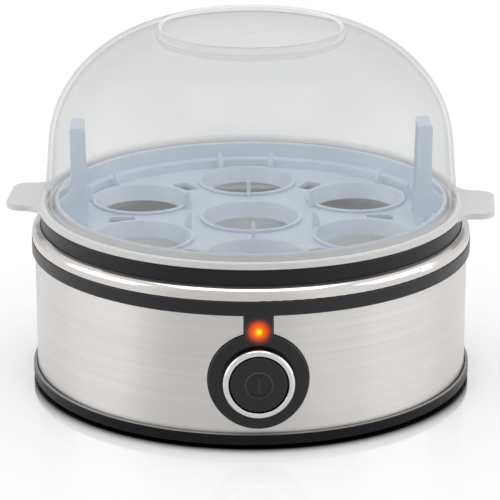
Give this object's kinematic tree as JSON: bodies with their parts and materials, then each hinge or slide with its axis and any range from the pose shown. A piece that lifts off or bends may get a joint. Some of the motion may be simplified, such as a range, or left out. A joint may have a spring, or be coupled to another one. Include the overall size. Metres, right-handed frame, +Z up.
{
  "type": "egg cooker",
  "caption": "Round electric egg cooker with a clear domed lid with two lifting ears, a lift-out egg tray, a steel heating plate and a push button in a brushed steel body.",
  "frame": {"origin": "on the table under the middle of the round body, at the middle of the bounding box's bottom face", "axes": "+Z is up, the push button looks along -Y, and +X is to the right of a person who faces the button"},
  "size_m": [0.1838, 0.1734, 0.1345],
  "materials": {
    "lid_plastic": "frosted clear, lightly glossy",
    "tray_plastic": "translucent pale blue",
    "black_plastic": "satin black",
    "button_plastic": "satin black",
    "shell_steel": "brushed round the body",
    "rim_steel": "polished",
    "chrome_trim": "bright chrome",
    "dish_steel": "spun steel",
    "spreader_aluminium": "plain pressed",
    "heater_sheath": "dull, heat-stained",
    "plain_steel": "zinc plated",
    "spring_steel": "drawn wire",
    "grey_silicone": "soft matt",
    "black_rubber": "matt",
    "lens_plastic": "orange, lit from behind",
    "lamp_glass": "clear amber",
    "switch_plastic": "moulded black",
    "plunger_plastic": "white nylon",
    "board_laminate": "green lacquer",
    "capacitor_case": "yellow box",
    "block_plastic": "cream nylon",
    "live_sleeve": "brown insulation",
    "neutral_sleeve": "blue insulation",
    "earth_sleeve": "green and yellow insulation",
    "heat_sleeve": "white glass-fibre sleeving"
  },
  "bodies": {
    "base": {"foot_front_left": "black_rubber", "foot_front_right": "black_rubber", "foot_rear_right": "black_rubber", "foot_rear_left": "black_rubber", "base_pan": "black_plastic", "base_screws": "plain_steel", "body_shell": "shell_steel", "control_panel": "black_plastic", "rim_ring": "rim_steel", "upper_frame": "black_plastic", "plate_gasket": "grey_silicone", "heating_plate": "dish_steel", "heat_spreader": "spreader_aluminium", "heating_element": "heater_sheath", "plate_stud": "plain_steel", "clamp_bar": "plain_steel", "clamp_nut": "plain_steel", "thermostat": "switch_plastic", "thermostat_screws": "plain_steel", "thermal_fuse": "plunger_plastic", "fuse_clip": "plain_steel", "fuse_screw": "plain_steel", "button_ring": "chrome_trim", "power_switch": "switch_plastic", "switch_bracket": "plain_steel", "bracket_screws": "plain_steel", "indicator_lens": "lens_plastic", "indicator_lamp": "lamp_glass", "control_board": "board_laminate", "board_screws": "plain_steel", "buzzer": "switch_plastic", "drop_capacitor": "capacitor_case", "terminal_block": "block_plastic", "terminal_screws": "plain_steel", "block_screws": "plain_steel", "cord_gland": "black_rubber", "live_wire": "live_sleeve", "switch_wire": "heat_sleeve", "fuse_wire": "heat_sleeve", "element_wire": "heat_sleeve", "neutral_wire": "neutral_sleeve", "earth_wire": "earth_sleeve"},
    "egg_tray": {"egg_tray": "tray_plastic", "tray_seats": "tray_plastic"},
    "lid": {"lid": "lid_plastic"},
    "power_button": {"button_cap": "button_plastic", "switch_plunger": "plunger_plastic", "return_spring": "spring_steel"}
  },
  "joints": [
    {"name": "tray_lift", "type": "slide", "parent": "base", "child": "egg_tray", "axis": [0, 0, 1], "range_m": [0, 0.08]},
    {"name": "lid_lift", "type": "slide", "parent": "egg_tray", "child": "lid", "axis": [0, 0, 1], "range_m": [0, 0.1]},
    {"name": "button_press", "type": "slide", "parent": "base", "child": "power_button", "axis": [0, 1, 0], "range_m": [0, 0.003], "stiffness_N_per_m": 500, "deforming": ["return_spring"]}
  ]
}
